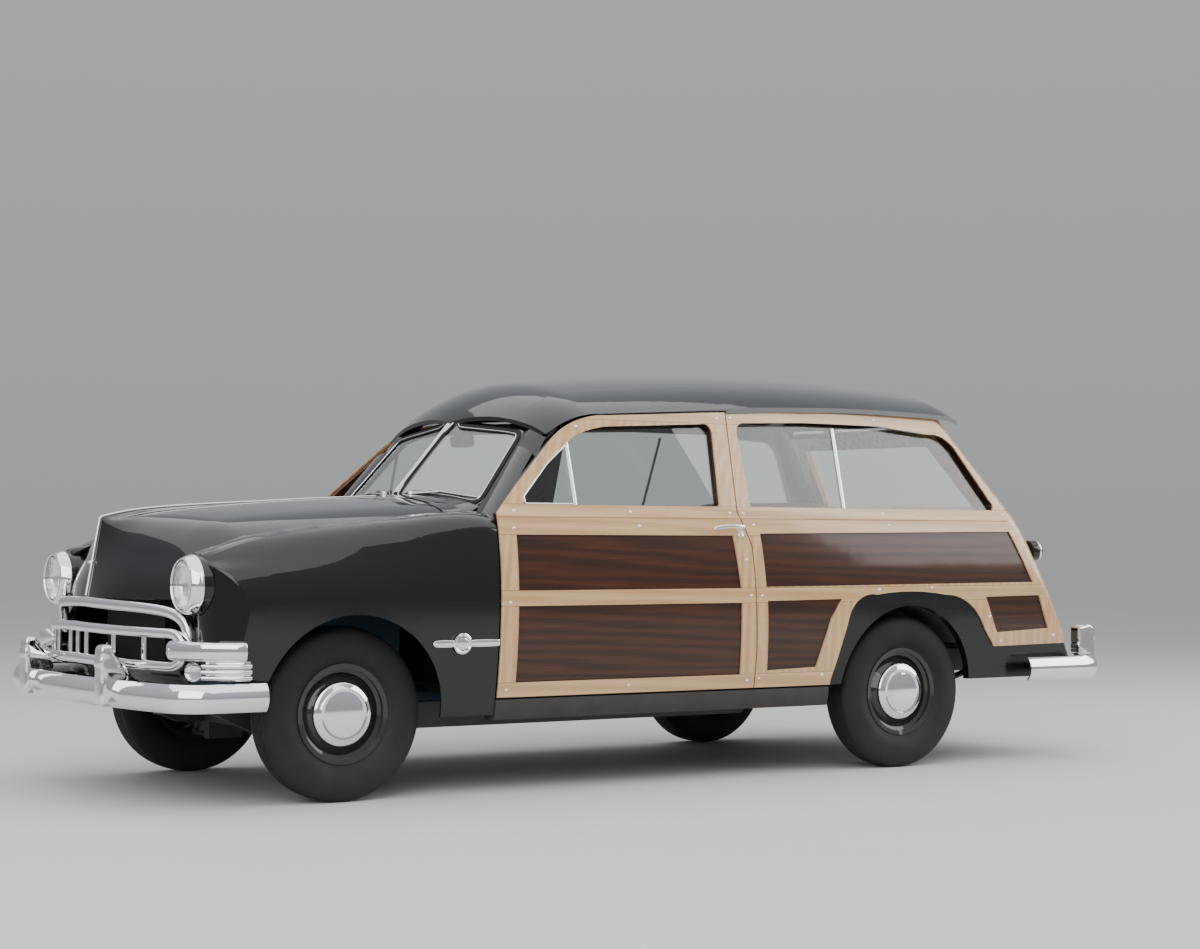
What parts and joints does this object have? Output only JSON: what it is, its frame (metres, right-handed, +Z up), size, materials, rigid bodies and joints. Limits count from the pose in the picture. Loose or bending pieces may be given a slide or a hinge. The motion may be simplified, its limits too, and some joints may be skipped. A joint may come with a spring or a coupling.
{
  "type": "station wagon",
  "caption": "Station wagon of about 1951 with wood-framed sides, vee windshield, steered front wheels and opening doors, hood, liftgate and tailgate.",
  "frame": {"origin": "on the ground under the middle of the bounding box", "axes": "+Z up, -Y to the front of the car, +X to its left-hand side"},
  "size_m": [1.856, 5.1403, 1.83],
  "materials": {
    "body_paint": "gloss",
    "roof_paint": "gloss",
    "frame_wood": "gloss varnish",
    "panel_wood": "gloss varnish",
    "window_glass": "clear",
    "chrome": "polished",
    "lamp_glass": "fluted",
    "tail_lens": "gloss",
    "tyre_rubber": "matte",
    "wheel_paint": "gloss",
    "chassis_paint": "satin",
    "floor_paint": "satin",
    "engine_iron": "satin paint",
    "radiator_core": "dull",
    "exhaust_steel": "dull",
    "seat_cover": "satin",
    "steering_plastic": "gloss"
  },
  "bodies": {
    "body": {"quarter_left": "panel_wood", "quarter_right": "panel_wood", "quarter_wood": "frame_wood", "roof": "roof_paint", "cowl": "body_paint", "fixed_glass": "window_glass", "fender_left": "body_paint", "fender_right": "body_paint", "nose_panel": "body_paint", "grille": "chrome", "front_bumper": "chrome", "rear_bumper": "chrome", "headlamp_rims": "chrome", "headlamps": "lamp_glass", "parking_lamps": "lamp_glass", "tail_lamps": "tail_lens", "front_suspension": "chassis_paint", "rear_axle": "chassis_paint", "frame": "chassis_paint", "floor": "floor_paint", "front_seat": "seat_cover", "rear_seat": "seat_cover", "seat_frames": "chassis_paint", "engine": "engine_iron", "radiator": "radiator_core", "steering_column": "chassis_paint", "fuel_tank": "chassis_paint", "exhaust": "exhaust_steel"},
    "hood": {"hood": "body_paint"},
    "door_left": {"door_left": "panel_wood", "door_wood_left": "frame_wood", "door_glass_left": "window_glass"},
    "door_right": {"door_right": "panel_wood", "door_wood_right": "frame_wood", "door_glass_right": "window_glass"},
    "liftgate": {"liftgate": "frame_wood", "liftgate_glass": "window_glass"},
    "tailgate": {"tailgate": "panel_wood", "tailgate_wood": "frame_wood"},
    "knuckle_left": {"knuckle_left": "chassis_paint"},
    "knuckle_right": {"knuckle_right": "chassis_paint"},
    "wheel_front_left": {"wheel_fl": "wheel_paint", "tyre_fl": "tyre_rubber"},
    "wheel_front_right": {"wheel_fr": "wheel_paint", "tyre_fr": "tyre_rubber"},
    "wheel_rear_left": {"wheel_rl": "wheel_paint", "tyre_rl": "tyre_rubber"},
    "wheel_rear_right": {"wheel_rr": "wheel_paint", "tyre_rr": "tyre_rubber"},
    "steering_wheel": {"steering_wheel": "steering_plastic"}
  },
  "joints": [
    {"name": "hood_hinge", "type": "hinge", "parent": "body", "child": "hood", "pos_m": [0, -1.1, 1.234], "axis": [-1, 0, 0], "range_deg": [0, 50]},
    {"name": "door_left_hinge", "type": "hinge", "parent": "body", "child": "door_left", "pos_m": [0.88, -0.972, 0.8], "axis": [0, 0, -1], "range_deg": [0, 65]},
    {"name": "door_right_hinge", "type": "hinge", "parent": "body", "child": "door_right", "pos_m": [-0.88, -0.972, 0.8], "axis": [0, 0, 1], "range_deg": [0, 65]},
    {"name": "liftgate_hinge", "type": "hinge", "parent": "body", "child": "liftgate", "pos_m": [0, 1.66697, 1.6], "axis": [1, 0, 0], "range_deg": [0, 60]},
    {"name": "tailgate_hinge", "type": "hinge", "parent": "body", "child": "tailgate", "pos_m": [0, 2.28251, 0.612], "axis": [-1, 0, 0], "range_deg": [0, 118]},
    {"name": "steer_left", "type": "hinge", "parent": "body", "child": "knuckle_left", "pos_m": [0.614, -1.673, 0.352], "axis": [0, 0, 1], "range_deg": [-30, 30]},
    {"name": "steer_right", "type": "hinge", "parent": "body", "child": "knuckle_right", "pos_m": [-0.614, -1.673, 0.352], "axis": [0, 0, 1], "range_deg": [-30, 30]},
    {"name": "steering_wheel_turn", "type": "hinge", "parent": "body", "child": "steering_wheel", "pos_m": [0.37, -0.613, 1.01], "axis": [0, 0.8829, 0.4695], "range_deg": [-540, 540]},
    {"name": "wheel_front_left_spin", "type": "hinge", "parent": "knuckle_left", "child": "wheel_front_left", "pos_m": [0.71, -1.673, 0.352], "axis": [1, 0, 0], "continuous": true},
    {"name": "wheel_front_right_spin", "type": "hinge", "parent": "knuckle_right", "child": "wheel_front_right", "pos_m": [-0.71, -1.673, 0.352], "axis": [1, 0, 0], "continuous": true},
    {"name": "wheel_rear_left_spin", "type": "hinge", "parent": "body", "child": "wheel_rear_left", "pos_m": [0.748, 1.223, 0.352], "axis": [1, 0, 0], "continuous": true},
    {"name": "wheel_rear_right_spin", "type": "hinge", "parent": "body", "child": "wheel_rear_right", "pos_m": [-0.748, 1.223, 0.352], "axis": [1, 0, 0], "continuous": true}
  ],
  "couplings": [
    {"joint": "steer_right", "follows": "steer_left", "ratio": 1},
    {"joint": "steering_wheel_turn", "follows": "steer_left", "ratio": 18}
  ]
}
